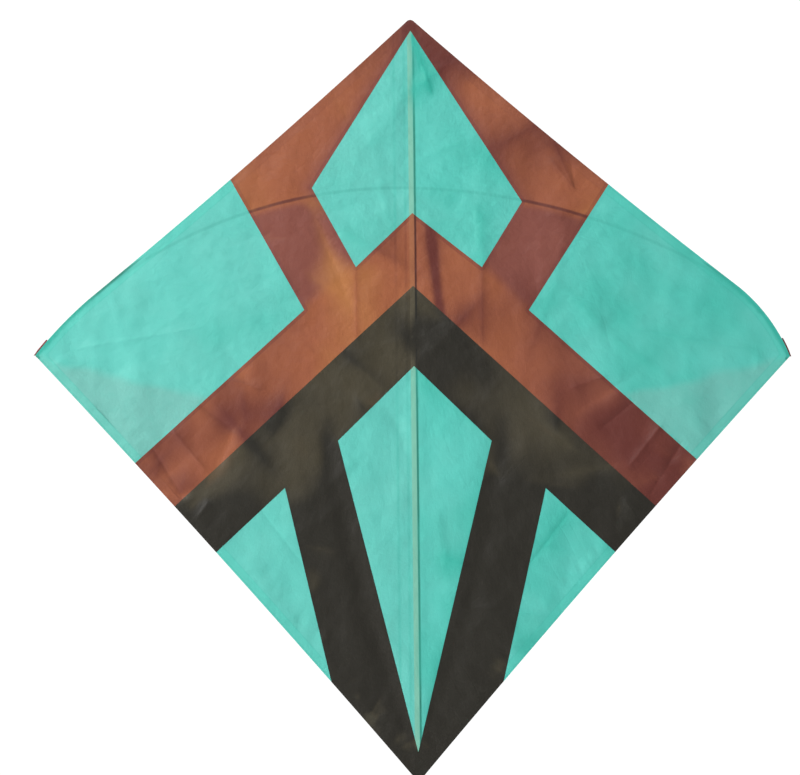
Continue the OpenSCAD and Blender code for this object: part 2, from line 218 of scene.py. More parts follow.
def wingField(s):
    c = skewed(ofSide(pattern["armFoot"], s), s)
    head = plans[s].leadPoint(ofSide(pattern["armHead"], s))
    return onSide(openCorner(c, head, sloping(c, pattern["wingSlope"], s)), s)


def lowerField(s):
    c = skewed(pattern["legTop"], s)
    foot = plans[s].trail(1 - pattern["legFoot"] / plans[s].tip[0])
    return onSide(openCorner(c, sloping(c, pattern["lowerSlope"], s), foot), s)


def halfDiamond(s):
    corners = [ofSide(pattern[name], s) for name in ("diamondSide", "diamondFoot")]
    return onSide([skewed(c, s) for c in corners], s)


diamond = [vec(0, pattern["diamondTop"])] + halfDiamond(right)
diamond += [vec(0, pattern["notch"])] + halfDiamond(left)
dart = [vec(0, pattern["dartTop"]), skewed(pattern["dartSide"], right), vec(0, pattern["dartFoot"]),
        skewed(pattern["dartSide"], left) * (-1, 1)]
blackApex = vec(0, pattern["blackApex"])
blackRight = sloping(blackApex, pattern["blackSlope"], right)
blackLeft = sloping(blackApex, pattern["blackSlope"], left) * (-1, 1)
belowLine = [blackApex, blackRight, vec(farOff, -2 * farOff), vec(-farOff, -2 * farOff), blackLeft]
lap, hem = kite["lap"], kite["hem"]
fields = {"diamond": diamond, "dart": dart, "wingLeft": wingField(left), "wingRight": wingField(right),
          "lowerLeft": lowerField(left), "lowerRight": lowerField(right)}


def inside(points, polygon):
    x, z = points[:, 0], points[:, 1]
    hit = np.zeros(len(points), bool)
    for (ax, az), (bx, bz) in zip(polygon, polygon[1:] + polygon[:1]):
        if az == bz:
            continue
        hit ^= ((az > z) != (bz > z)) & (x < (bx - ax) * (z - az) / (bz - az) + ax)
    return hit


def toLines(points, line, closed=False):  # distance from each point to a run of straight pieces
    best = np.full(len(points), 1e9)
    pieces = list(zip(line, line[1:] + line[:1])) if closed else list(zip(line, line[1:]))
    for a, b in pieces:
        a, b = vec(*a), vec(*b)
        d = b - a
        t = np.clip(((points - a) @ d) / max(d @ d, 1e-9), 0, 1)
        best = np.minimum(best, np.linalg.norm(points - a - t[:, None] * d, axis=1))
    return best


def smooth(x, a, b):
    t = np.clip((x - a) / (b - a), 0, 1)
    return t * t * (3 - 2 * t)


print("plan drawn: tips", plans[left].tip.round(1), plans[right].tip.round(1))


def landmarksOf(s):  # corners of the pattern, which the folds start from
    plan = plans[s]

    def half(p):
        return vec(s * p[0], p[1])

    def onTrail(corner, slope):  # where a line that falls outwards from a corner reaches the trailing edge
        rim = np.array([plan.trail(t) for t in np.linspace(0, 1, 200)])
        away = np.abs(rim[:, 1] - corner[1] + (rim[:, 0] - corner[0]) * math.tan(math.radians(slope)))
        return half(rim[away.argmin()])

    armFoot = skewed(ofSide(pattern["armFoot"], s), s)
    legTop = skewed(pattern["legTop"], s)
    return dict(
        nose=vec(0, kite["noseHeight"]), tail=vec(0, -kite["tailDepth"]), tip=half(plan.tip),
        side=half(skewed(ofSide(pattern["diamondSide"], s), s)),
        foot=half(skewed(ofSide(pattern["diamondFoot"], s), s)),
        armHead=half(plan.leadPoint(ofSide(pattern["armHead"], s))), armFoot=half(armFoot),
        armEnd=onTrail(armFoot, pattern["wingSlope"]), blackEnd=onTrail(blackApex, pattern["blackSlope"]),
        dartSide=half(skewed(pattern["dartSide"], s)), legTop=half(legTop),
        legEnd=onTrail(legTop, pattern["lowerSlope"]),
        legFoot=half(plan.trail(1 - pattern["legFoot"] / plan.tip[0])))


landmarks = {s: landmarksOf(s) for s in (left, right)}


def partWay(s, a, b, t):  # a point part of the way from one landmark to another
    return landmarks[s][a] + (landmarks[s][b] - landmarks[s][a]) * t


def onBlackLine(p):
    return vec(p[0], pattern["blackApex"] - abs(p[0]) * math.tan(math.radians(pattern["blackSlope"])))


def foldAlong(line, wide, high, dark=0.0, sharp=True):  # high is towards the back; dark is painted shade along the fold, or painted light below zero
    return dict(line=line, wide=wide, high=high, dark=dark, sharp=sharp)


def foldsOf(s):
    m = landmarks[s]

    def on(a, b, t):
        return partWay(s, a, b, t)

    inLeg = vec(s * 9, 0)
    strong = 1 if s < 0 else 0.6
    crest = on("tip", "armFoot", 0.38)
    slack = [m["dartSide"] + inLeg + (0, 14), m["dartSide"] + inLeg,  # the long fold beside the dart
             on("dartSide", "tail", 0.5) + inLeg, on("dartSide", "tail", 0.85)]
    acrossArm = ((0.45, -1.0), (0.62, 1.2), (0.78, -1.5), (0.9, 1.2))
    made = [
        foldAlong(slack, 8, 1.5 * strong, 0.7 * strong, False),
        foldAlong([m["foot"], onBlackLine(m["foot"])], 3, -0.6 * strong, 0.4 * strong),
        foldAlong([on("tip", "armFoot", 0.14), on("tip", "armFoot", 0.62)], 3.5, -0.7, 0.1),
        foldAlong([crest, on("tip", "armEnd", 0.7)], 14, 1.0, -0.1, False),
        foldAlong([crest, on("tip", "armEnd", 0.98)], 11, -1.0, 0.12, False)]
    made += [foldAlong([on("armFoot", "armEnd", t), on("foot", "blackEnd", t + 0.06)], 4, high, 0.15)
             for t, high in acrossArm]
    made += [
        foldAlong([on("legTop", "legEnd", 0.35), on("legTop", "legFoot", 0.4)], 2.5, 0.6, 0.25),
        foldAlong([on("legFoot", "tail", 0.1) - inLeg, on("legFoot", "tail", 0.7)], 5, -0.9, -0.3, False),
        foldAlong([on("blackEnd", "legEnd", 0.4), on("blackEnd", "legTop", 0.3)], 3, -0.8, 0.4)]
    return made


def gathersOf(s):  # folds of the nose band that draw together at the head of the arm
    neck = partWay(s, "armHead", "side", 0.4)
    gathers = ((0.72, 5, 3, -0.8, 0.25), (0.8, 4, 2.5, 0.7, 0), (0.7, 20, 3, -0.6, 0.2))
    return [foldAlong([partWay(s, "nose", "armHead", t) + (0, -drop), neck], wide, high, dark)
            for t, drop, wide, high, dark in gathers]


noseFold = foldAlong(
    [landmarks[right]["nose"] + (1, -12), partWay(right, "nose", "foot", 0.3)], 1.6, -0.5, 0.9)
folds = foldsOf(left) + foldsOf(right) + gathersOf(right) + [noseFold]
spineWide = (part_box("spine")[1][0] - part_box("spine")[0][0]) / mm
beside = dict(pleats=(-2.5, -1), pleatShade=0.32, pleatWide=0.35,  # places and widths in spine widths; the pleats and the swell carry painted shade
              swell=2, drift=0.1, swellWide=0.75, swellShade=0.9)
lie = dict(rough=(0.9, 0.045), fine=(0.3, 0.02), edgeFade=(1.5, 16), spineFade=(2.5, 12), most=0.35)
crumple = dict(count=170, long=(18, 75), wide=(3, 10), slope=(0.07, 0.24), seed=5)
pucker = dict(pitch=7.5, long=(7, 26), wide=(1.6, 3.8), slope=(0.12, 0.36), seed=8)

bowLines = {s: [plans[s].bowPoint(a)[[0, 2]] for a in np.linspace(0, plans[s].tipSlope, 40)]
            for s in (left, right)}


def ridge(points, fold):
    d = toLines(points, [vec(*p) for p in fold["line"]])
    a, b = vec(*fold["line"][0]), vec(*fold["line"][-1])
    t = ((points - a) @ (b - a)) / ((b - a) @ (b - a))
    ends = smooth(t, -0.12, 0.15) * (1 - smooth(t, 0.85, 1.12))
    shape = np.exp(-d / fold["wide"]) if fold["sharp"] else np.exp(-(d / fold["wide"]) ** 2)
    return shape * ends


def crumples(points):  # many small creases, with short puckers across the thread hems
    rng = np.random.default_rng(crumple["seed"])
    made = []
    for i in range(crumple["count"]):
        c = vec(rng.uniform(-280, 280), rng.uniform(-450, 110))
        made.append((c, rng.uniform(0, math.pi), rng.uniform(*crumple["long"]), rng.uniform(*crumple["wide"]),
                     rng.uniform(*crumple["slope"]) * rng.choice((-1, 1))))
    rng = np.random.default_rng(pucker["seed"])
    for s in (left, right):
        plan = plans[s]
        for t in np.arange(0.03, 0.97, pucker["pitch"] / np.linalg.norm(plan.tip - plan.tail)):
            size = rng.uniform(*pucker["long"])
            c = plan.trail(t + rng.uniform(-0.008, 0.008)) + plan.inwards * (4 + size * 0.5)
            a = math.atan2(plan.inwards[1], plan.inwards[0] * s) + rng.uniform(-0.6, 0.6)
            made.append((c * (s, 1), a, size, rng.uniform(*pucker["wide"]),
                         rng.uniform(*pucker["slope"]) * rng.choice((-1, 1))))
    y = np.zeros(len(points))
    for c, a, size, wide, slope in made:
        near = np.abs(points - c).max(1) < size * 2.4
        q = points[near] - c
        along = q[:, 0] * math.cos(a) + q[:, 1] * math.sin(a)
        across = q[:, 1] * math.cos(a) - q[:, 0] * math.sin(a)
        y[near] += slope * wide * np.exp(-np.abs(across) / wide) * np.exp(-(along / size * 1.6) ** 2)
    return y


def edgeDistance(points):
    return toLines(points, outline, True)


def relief(points):  # how far the paper stands back from its plane, in mm
    rough, fine = lie["rough"], lie["fine"]
    y = np.array([rough[0] * noise.noise(Vector((p[0] * rough[1], p[1] * rough[1] * 0.7, 3.7)))
                  + fine[0] * noise.noise(Vector((p[0] * fine[1] * 4, p[1] * fine[1] * 3, 9.1)))
                  for p in points])
    y = y + crumples(points)
    for fold in folds:
        y = y + fold["high"] * ridge(points, fold)
    far = np.abs(points[:, 0])
    y = y * (0.15 + 0.85 * smooth(edgeDistance(points), *lie["edgeFade"])) * smooth(far, *lie["spineFade"])
    d = np.minimum(toLines(points, bowLines[left]), toLines(points, bowLines[right]))
    room = lie["most"] + 2.5 * smooth(d, 2, 30)  # the bow lies close behind
    return np.minimum(y, room)


class CuttingTable:
    def __init__(self):
        self.points, self.links = [], []
        self.rule(outline, closed=True, step=1e9)
        top, foot = kite["noseHeight"], -kite["tailDepth"]
        for x in (-9, -4.5, -2.5, 0, 2.5, 4.5, 9):
            self.rule([(x, top - 14 if x else top), (x, foot + 14 if x else foot)])
        for field in fields.values():
            for d in (0, lap):
                self.rule(self.near(grown(field, d)), closed=True)
        for d in (0, -lap, -2 * lap):
            line = grown(belowLine, d)
            self.rule(self.near([line[4], line[0], line[1]]))
        for s in (left, right):
            rim = [p for p, _ in edges[s]]
            for q in (2, hem):
                self.rule(onSide(self.movedIn(rim, q), s), step=1e9)
        for fold in folds:
            if fold["sharp"]:
                line = [vec(*p) for p in fold["line"]]
                for d in (-1, 0, 1):
                    self.rule([p + d * self.sideways(line, i) for i, p in enumerate(line)], step=meshStep)
        self.fill()

    def near(self, line):  # returns every point as it is, far off ones too
        return [p if np.linalg.norm(p) < 900 else p for p in line]

    def sideways(self, line, i):
        a, b = line[max(i - 1, 0)], line[min(i + 1, len(line) - 1)]
        d = unit(b - a)
        return vec(-d[1], d[0])

    def movedIn(self, rim, q):
        made = []
        for i, p in enumerate(rim):
            n = self.sideways(rim, i)
            c = p - n * q
            if c[0] >= 0:
                made.append(c)
        return made

    def rule(self, line, closed=False, step=None):
        step = step or meshStep
        line = [vec(*p) for p in line]
        if closed:
            line = line + [line[0]]
        pts = []
        for a, b in zip(line, line[1:]):
            size = np.linalg.norm(b - a)
            n = max(1, int(round(size / step))) if size < 2000 else int(size / step)
            t = np.linspace(0, 1, n + 1)[:-1]
            pts.append(a + (b - a) * t[:, None])
        pts = np.concatenate(pts + [line[-1][None]])
        keep = (np.abs(pts[:, 0]) < 330) & (pts[:, 1] < 160) & (pts[:, 1] > -500)  # a little past the sail
        last = None
        for p, k in zip(pts, keep):
            if not k:
                last = None
                continue
            self.points.append(p)
            here = len(self.points) - 1
            if last is not None:
                self.links.append((last, here))
            last = here

    def fill(self):
        fixed = np.array(self.points)
        rows = []
        high = meshStep * math.sqrt(3) / 2
        for j, z in enumerate(np.arange(-kite["tailDepth"], kite["noseHeight"], high)):
            x = np.arange(-306, 306, meshStep) + (j % 2) * meshStep / 2
            rows.append(np.stack([x, np.full_like(x, z)], 1))
        grid = np.concatenate(rows)
        grid = grid[inside(grid, outline)]
        cell = {}
        size = meshStep
        for p in fixed:
            cell.setdefault((int(p[0] // size), int(p[1] // size)), []).append(p)
        keep = []
        for p in grid:
            i, j = int(p[0] // size), int(p[1] // size)
            close = [q for a in (-1, 0, 1) for b in (-1, 0, 1) for q in cell.get((i + a, j + b), ())]
            keep.append(not close or np.min(np.linalg.norm(np.array(close) - p, axis=1)) > meshStep * 0.55)
        grid = grid[np.array(keep)]
        every = [Vector(p) for p in self.points] + [Vector(p) for p in grid]
        made = delaunay_2d_cdt(every, self.links, [], 0, 1e-4)
        self.verts = np.array([tuple(v) for v in made[0]])
        self.faces = np.array([f for f in made[2] if len(f) == 3])
        self.centres = self.verts[self.faces].mean(1)
        self.within = inside(self.centres, outline)
        self.relief = relief(self.verts)
        self.marks = self.measure(self.verts)

    def measure(self, points):
        fieldGap = np.full(len(points), 1e3)
        for field in fields.values():
            fieldGap = np.minimum(fieldGap, toLines(points, field, True))
        bowGap = np.minimum(toLines(points, bowLines[left]), toLines(points, bowLines[right]))
        line = np.array(bowLines[left][::-1] + bowLines[right])
        above = points[:, 1] > np.interp(points[:, 0], line[:, 0], line[:, 1])
        return np.stack([fieldGap, edgeDistance(points), np.where(above, bowGap, -bowGap)], 1)

    def region(self, inAny=(), notIn=(), half=0):
        pick = self.within.copy()
        for p in inAny:
            pick &= inside(self.centres, p)
        for p in notIn:
            pick &= ~inside(self.centres, p)
        if half:
            pick &= self.centres[:, 0] * half > 0
        return self.faces[pick]


table = CuttingTable()
print("cutting table:", len(table.verts), "points,", len(table.faces), "triangles")


class Value:  # one output socket, so that shader maths can be written as sums
    def __init__(self, paint, socket):
        self.paint, self.socket = paint, socket

    def sum(self, how, other, swapped=False):
        pair = (other, self) if swapped else (self, other)
        return self.paint.node("Math", {"operation": how}, dict(enumerate(pair)))

    def __add__(self, other):
        return self.sum("ADD", other)

    def __radd__(self, other):
        return self.sum("ADD", other, True)

    def __sub__(self, other):
        return self.sum("SUBTRACT", other)

    def __rsub__(self, other):
        return self.sum("SUBTRACT", other, True)

    def __mul__(self, other):
        return self.sum("MULTIPLY", other)

    def __rmul__(self, other):
        return self.sum("MULTIPLY", other, True)

    def __abs__(self):
        return self.paint.node("Math", {"operation": "ABSOLUTE"}, {0: self})

    def between(self, low, high):  # 0 at low, 1 at high, eased
        return self.paint.node("MapRange", {"interpolation_type": "SMOOTHSTEP"},
                               {"Value": self, "From Min": low, "From Max": high})


class Paint:  # one material
    def __init__(self, name):
        self.material = bpy.data.materials.new(name)
        self.material.use_nodes = True
        self.tree = self.material.node_tree
        self.tree.nodes.clear()

    def node(self, kind, settings=None, inputs=None, out=0):
        made = self.tree.nodes.new("ShaderNode" + kind)
        for key, value in (settings or {}).items():
            if key == "stops":
                ramp = made.color_ramp.elements
                while len(ramp) < len(value):
                    ramp.new(0.5)
                for stop, (place, colour) in zip(ramp, value):
                    stop.position, stop.color = place, colour
            else:
                setattr(made, key, value)
        for key, value in (inputs or {}).items():
            if isinstance(value, Value):
                self.tree.links.new(value.socket, made.inputs[key])
            else:
                made.inputs[key].default_value = value
        return Value(self, made.outputs[out]) if made.outputs else None

    def mix(self, amount, a, b, how="MIX"):
        return self.node("Mix", {"data_type": "RGBA", "blend_type": how}, {0: amount, 6: a, 7: b}, out=2)

    def parts(self, name):
        at = self.node("Attribute", {"attribute_name": name}, out="Vector")
        cut = self.node("SeparateXYZ", inputs={0: at})
        return [Value(self, o) for o in cut.socket.node.outputs]

    def stretched(self, name, scale):
        at = self.node("Attribute", {"attribute_name": name}, out="Vector")
        return self.node("VectorMath", {"operation": "MULTIPLY"}, {0: at, 1: scale})

    def cloud(self, at, scale, detail=3, rough=0.55, warp=0):
        return self.node("TexNoise", {"noise_dimensions": "3D"},
                         {"Vector": at, "Scale": scale, "Detail": detail, "Roughness": rough,
                          "Distortion": warp})

    def finish(self, surface):
        self.node("OutputMaterial", inputs={"Surface": surface})
        return self.material


def srgb(r, g, b, a=1.0):
    def one(c):
        c = c / 255
        return c / 12.92 if c <= 0.04045 else ((c + 0.055) / 1.055) ** 2.4
    return (one(r), one(g), one(b), a)


# In each look the crease colour paints shade in creases and on the hem round the bow, the bow colour paints
# the bow's shadow through the paper, and the haze colour serves both random haze and painted light.
tissueLooks = {
    "teal": dict(
        mauve=srgb(104, 196, 186), pale=srgb(128, 218, 206), colour=srgb(90, 199, 188),
        deep=srgb(50, 178, 162), under=srgb(84, 186, 172), hazeAndPaintedLight=srgb(114, 186, 177),
        spine=srgb(146, 190, 158), creaseMarkAndShade=srgb(24, 118, 100),
        bow=srgb(54, 160, 146), hem=srgb(70, 206, 188), rough=0.5),
    "brown": dict(
        mauve=srgb(122, 66, 62), pale=srgb(182, 120, 62), colour=srgb(158, 90, 56), deep=srgb(100, 42, 34),
        under=srgb(112, 46, 44), hazeAndPaintedLight=srgb(140, 76, 66), spine=srgb(168, 112, 74), creaseMarkAndShade=srgb(56, 16, 14),
        bow=srgb(84, 34, 34), hem=srgb(146, 82, 60), rough=0.48),
    "black": dict(
        mauve=srgb(52, 46, 42), pale=srgb(98, 80, 58), colour=srgb(64, 58, 41), deep=srgb(32, 29, 20),
        under=srgb(44, 42, 34), hazeAndPaintedLight=srgb(74, 70, 62), spine=srgb(92, 86, 68), creaseMarkAndShade=srgb(14, 16, 12),
        bow=srgb(40, 38, 32), hem=srgb(50, 52, 44), rough=0.44),
    "maroon": dict(
        mauve=srgb(110, 34, 40), pale=srgb(140, 44, 42), colour=srgb(118, 34, 36), deep=srgb(72, 16, 20),
        under=srgb(90, 22, 24), hazeAndPaintedLight=srgb(130, 44, 40), spine=srgb(130, 44, 40), creaseMarkAndShade=srgb(50, 10, 12),
        bow=srgb(80, 20, 22), hem=srgb(118, 34, 36), rough=0.4),
}
paperCreases = dict(runs=((0.5, 46), (-0.75, 58), (1.35, 50)), depth=0.05)


def tissue(name):
    look = tissueLooks[name]
    p = Paint(name + "Tissue")
    flat = p.stretched("flat", (1, 1, 1))
    x = p.parts("flat")[0]
    fieldGap, edge, bowGap = p.parts("marks")
    dark, hazeAndPaintedLight, mauve = p.parts("tone")
    blotch = p.cloud(flat, 14, 4, 0.6)
    mottle = p.cloud(flat, 90, 5, 0.65)
    fibre = p.cloud(p.stretched("flat", (1, 0.28, 1)), 900, 3, 0.7, 0.6)
    colour = p.mix(blotch.between(0.35, 0.75) * 0.22, look["colour"], look["hazeAndPaintedLight"])
    # Painted light: the paper paled towards its haze colour where the tone asks for it.
    colour = p.mix(hazeAndPaintedLight, colour, look["hazeAndPaintedLight"])
    colour = p.mix(mottle.between(0.42, 0.8) * 0.14, colour, look["deep"])
    colour = p.mix(fibre.between(0.5, 0.72) * 0.12, colour, look["under"])
    overLap = 1 - fieldGap.between(lap * mm * 0.88, lap * mm * 1.04)
    if name in ("brown", "black"):
        colour = p.mix(overLap * (0.4 if name == "brown" else 0.2), colour, look["under"])
    inHem = 1 - edge.between(hem * mm * 0.97, hem * mm * 1.03)
    colour = p.mix(inHem * 0.3, colour, look["hem"])
    hemLine = 1 - abs(edge - hem * mm).between(0.0002, 0.0009)
    threadLine = 1 - abs(edge - 0.0011).between(0.0002, 0.0007)
    colour = p.mix((hemLine * 0.22 + threadLine * 0.3) * (1 if name == "teal" else 0.4), colour, look["deep"])
    # Painted shadow of the bow, seen through the paper along the bow's line.
    bowShade = 1 - abs(bowGap).between(0.0004, 0.002)
    colour = p.mix(bowShade * (0.8 if name == "brown" else 0.26), colour, look["bow"])
    strip = 1 - abs(x + 0.0006).between(0.0016, 0.0024)
    colour = p.mix(strip * 0.5, colour, look["spine"])
    # Painted shade in the pleats beside the spine.
    for widths in beside["pleats"]:
        pleat = 1 - abs(x - widths * spineWide * mm).between(0, beside["pleatWide"] * spineWide * mm)
        colour = p.mix(pleat * (blotch.between(0.2, 0.6) * beside["pleatShade"]), colour, look["deep"])
    # Painted shade: a dark line in the crease at the spine's edge.
    spineEdgeShade = 1 - abs(x - spineWide * 0.4 * mm).between(0.0003, 0.0013)
    colour = p.mix(spineEdgeShade * 0.9, colour, look["creaseMarkAndShade"])
    # Painted shade on the hem's rim where it wraps round the bow.
    sleeveRimShade = (1 - edge.between(0.0012, 0.0026)) * (1 - abs(bowGap).between(0.0022, 0.0034))
    colour = p.mix(sleeveRimShade * 0.8, colour, look["creaseMarkAndShade"])
    colour = p.mix(mauve * 0.75, colour, look["mauve"])
    # Random blotches, painted shade and painted highlights from the tone: darker towards deep, lighter
    # towards pale.
    colour = p.mix(dark.between(0, 1), colour, look["deep"])
    colour = p.mix((0 - dark).between(0, 1) * 0.7, colour, look["pale"])
    dent = p.cloud(flat, 24, 4, 0.5)
    ripple = p.cloud(flat, 95, 3, 0.5)
    creases = 0
    for lean, scale in paperCreases["runs"]:
        run = p.node("Mapping", {"vector_type": "TEXTURE"},
                     {"Vector": flat, "Rotation": (0, 0, lean), "Scale": (1, 6, 1)})
        line = 1 - abs(p.cloud(run, scale, 2, 0.5) - 0.5).between(0.0, 0.035)
        creases = creases + line * p.cloud(flat, scale / 5, 2, 0.5).between(0.46, 0.68)
    pucker = dent * 2.2 + ripple * 0.5 - creases * paperCreases["depth"] + fibre * 0.1
    bump = p.node("Bump", {}, {"Strength": 0.6, "Distance": 0.0018, "Height": pucker})
    gloss = look["rough"] + (mottle - 0.5) * 0.18 + fibre * 0.06
    sheet = p.node("BsdfPrincipled", {}, {
        "Base Color": colour, "Roughness": gloss, "Normal": bump,
        "Specular IOR Level": 0.45, "Coat Weight": 0.0})
    glow = p.node("BsdfTranslucent", {}, {"Color": colour, "Normal": bump})
    return p.finish(p.node("MixShader", {}, {0: 0.22, 1: sheet, 2: glow}))


def bambooFinish(name, pale, dark, node, rough):
    p = Paint(name)
    fibres = p.cloud(p.stretched("along", (9, 1, 1)), 260, 4, 0.6)
    streaks = p.cloud(p.stretched("along", (14, 1, 1)), 900, 3, 0.7)
    blotch = p.cloud(p.stretched("along", (1, 1, 1)), 30, 3, 0.5)
    knot = p.parts("along")[2]
    colour = p.mix(fibres.between(0.36, 0.66), pale, dark)
    colour = p.mix(blotch.between(0.4, 0.7) * 0.3, colour, dark)
    colour = p.mix(knot * 0.7, colour, node)
    bump = p.node("Bump", {}, {"Strength": 0.4, "Distance": 0.0002, "Height": streaks + fibres * 0.6})
    return p.finish(p.node("BsdfPrincipled", {}, {
        "Base Color": colour, "Roughness": rough + streaks * 0.2, "Normal": bump, "Specular IOR Level": 0.5}))


def threadFinish(name, pale, dark):
    p = Paint(name)
    length, around, _ = p.parts("along")
    twist = p.node("Math", {"operation": "SINE"}, {0: length * 9000 + around * 12.566})
    fluff = p.cloud(p.stretched("along", (1, 1, 1)), 2600, 3, 0.7)
    colour = p.mix(twist * 0.3 + fluff * 0.5, pale, dark)
    bump = p.node("Bump", {}, {"Strength": 0.5, "Distance": 0.0001, "Height": twist * 0.5 + fluff})
    return p.finish(p.node("BsdfPrincipled", {}, {
        "Base Color": colour, "Roughness": 0.8 + fluff * 0.12, "Normal": bump, "Specular IOR Level": 0.3}))


finishes = {name + "_tissue": tissue(name) for name in tissueLooks}
finishes["bamboo"] = bambooFinish(
    "splitBamboo", srgb(214, 186, 132), srgb(176, 136, 82), srgb(120, 84, 48), 0.4)
finishes["bow_bamboo"] = bambooFinish(
    "bowBamboo", srgb(150, 94, 62), srgb(96, 54, 38), srgb(66, 34, 24), 0.38)
finishes["lashing_thread"] = threadFinish("lashingThread", srgb(226, 218, 196), srgb(176, 162, 132))
finishes["edge_thread"] = threadFinish("edgeThread", srgb(220, 214, 198), srgb(170, 160, 138))
print("finishes:", ", ".join(finishes))


def clouds(points, size, seed):  # broad soft patches, -1 to 1
    return np.array([noise.noise(Vector((p[0] / size, p[1] / size, seed))) for p in points]) * 1.6


tones = dict(
    # The first two are painted shade over the right half and painted light over the teal's left half.
    rightShade=0.34, leftLight=0.2, blotch=(0.26, 70), speck=(0.16, 26),
    # How strongly the crumples darken or lighten each paper: partly real crease marks, partly painted shade.
    creaseMarkAndShade=dict(teal=0.16, brown=0.4, black=0.55, maroon=0.2),
    paleLightFrom=0.56, paleLightAmount=0.75, paleLightEdge=(-2, 7),  # painted pale light on the wing between each tip and its arm
    sleeveFrom=(225, 285), sleeveWide=2.2, sleeveShade=0.9,  # the bow seen through the hem near a tip, with painted shade of the hem wrapped round it
    armDark=0.5, armOut=(40, 190), armRed=0.5, bandDark=0.45, bandPale=0.5, ridgeHighlight=(0.8, 0.3),
    legDark=1.4, legFrom=(205, 290), paintedSheen=0.75,
)


def toneOf(points, paper):  # darkness (random tone, painted shade and, below zero, painted highlight), painted light and mauve of the paper at each point
    x, z, t = points[:, 0], points[:, 1], tones
    dark = t["blotch"][0] * clouds(points, t["blotch"][1], 2.3)
    dark = dark + t["speck"][0] * clouds(points, t["speck"][1], 7.7)
    # Painted shade over the right half; the crumples darken or lighten the paper, partly as real crease marks
    # and partly as painted shade.
    dark = dark + t["rightShade"] * smooth(x, -1, 1) - t["creaseMarkAndShade"][paper] * crumples(points)
    hazeAndPaintedLight, mauve = np.zeros(len(points)), np.zeros(len(points))
    # Painted shade along each fold, painted light where its darkness is below zero.
    for f in folds:
        dark = dark + f["dark"] * ridge(points, f)
    line = np.array(bowLines[left][::-1] + bowLines[right])
    under = np.interp(x, line[:, 0], line[:, 1]) - z
    if paper == "teal":
        # Painted light over the teal's left half.
        hazeAndPaintedLight = hazeAndPaintedLight + t["leftLight"] * (1 - smooth(x, -1, 1))
        # Painted light: each wing paler below a line from its tip towards its arm.
        for s in (left, right):
            a, b = landmarks[s]["tip"], partWay(s, "armFoot", "armEnd", t["paleLightFrom"])
            level = a[1] + (x - a[0]) * (b[1] - a[1]) / (b[0] - a[0]) + 3 * clouds(points, 26, 4.1)
            inWing = inside(points, fields["wing" + sideName(s).title()])
            hazeAndPaintedLight = hazeAndPaintedLight + t["paleLightAmount"] * smooth(level - z, *t["paleLightEdge"]) * inWing
        # Partly the dark bow seen through the paper, partly painted shade of the hem wrapped round it.
        sleeve = np.exp(-(np.minimum(np.abs(under), edgeDistance(points)) / t["sleeveWide"]) ** 2)
        dark = dark + t["sleeveShade"] * sleeve * smooth(np.abs(x), *t["sleeveFrom"]) * (under < 6)
        dark = dark * (1 - 0.8 * np.clip(hazeAndPaintedLight, 0, 1))
    if paper == "brown":
        for s in (left, right):  # the arms, down to where the chevron begins
            a, b = landmarks[s]["foot"], landmarks[s]["armFoot"]
            level = a[1] + (x - a[0]) * (b[1] - a[1]) / (b[0] - a[0])
            mauve = mauve + smooth(under, 0, 7) * smooth(z - level, -4, 10) * (s * x > 30)
        mauve = mauve + 0.75 * np.exp(-(toLines(points, diamond, True) / 8) ** 2) * (under < 0)
        inArms = smooth(under, 40, 70)
        mauve = mauve + t["armRed"] * smooth(x, 60, 150) * inArms
        dark = dark + t["armDark"] * smooth(np.abs(x), *t["armOut"]) * inArms
        # Painted highlight on the lower brown either side of the spine.
        ridgeHighlight = np.where(x < 0, *t["ridgeHighlight"])
        dark = dark - ridgeHighlight * np.exp(-((np.abs(x) - 48) / 34) ** 2) * inArms
        dark = dark + t["bandDark"] * smooth(z, 60, 125)
        dark = dark - t["bandPale"] * smooth(np.abs(x), 95, 140) * (under < 0)
        # Painted shade: a dark band beside the spine that drifts outwards lower down.
        swell = beside["swell"] * spineWide - beside["drift"] * z
        dark = dark + beside["swellShade"] * np.exp(-((x - swell) / (beside["swellWide"] * spineWide)) ** 2)
    if paper == "black":
        dark = dark * 1.6 + t["legDark"] * smooth(-z, *t["legFrom"])
        # Painted sheen: brownish highlights on the lower black.
        dark = dark - t["paintedSheen"] * smooth(clouds(points, 42, 5.9), 0.15, 0.8) * smooth(-z, 250, 330)
    return np.stack([np.clip(dark, -1, 1), np.clip(hazeAndPaintedLight, 0, 1), np.clip(mauve, 0, 1)], 1)


def write(mesh, name, values):
    made = mesh.attributes.new(name, "FLOAT_VECTOR", "POINT")
    made.data.foreach_set("vector", np.asarray(values, np.float32).ravel())


def piece(name, verts, faces, finish, attributes):
    mesh = bpy.data.meshes.new(name)
    mesh.from_pydata([tuple(v * mm) for v in verts], [], [tuple(int(i) for i in f) for f in faces])
    for key, values in attributes.items():
        write(mesh, key, values)
    mesh.materials.append(finishes[finish])
    mesh.shade_smooth()
    obj = bpy.data.objects.new(name, mesh)
    bpy.context.collection.objects.link(obj)
    return obj


def thickened(obj, thickness):  # from one surface to a thin closed sheet
    mod = obj.modifiers.new("thickness", "SOLIDIFY")
    mod.thickness, mod.offset, mod.use_even_offset, mod.use_rim = thickness * mm, 0, False, True
    graph = bpy.context.evaluated_depsgraph_get()
    made = bpy.data.meshes.new_from_object(obj.evaluated_get(graph))
    old = obj.data
    obj.modifiers.clear()
    obj.data = made
    made.set_sharp_from_angle(angle=math.radians(38))
    made.name = old.name
    bpy.data.meshes.remove(old)
    return obj


hinge, bendSpan = 0.00365, 0.2  # metres from the middle line: where a wing starts to turn, and has turned


def rideWing(obj, s):
    sideName(s) + "_wing"
    s * hinge
    s * bendSpan
    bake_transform(obj)


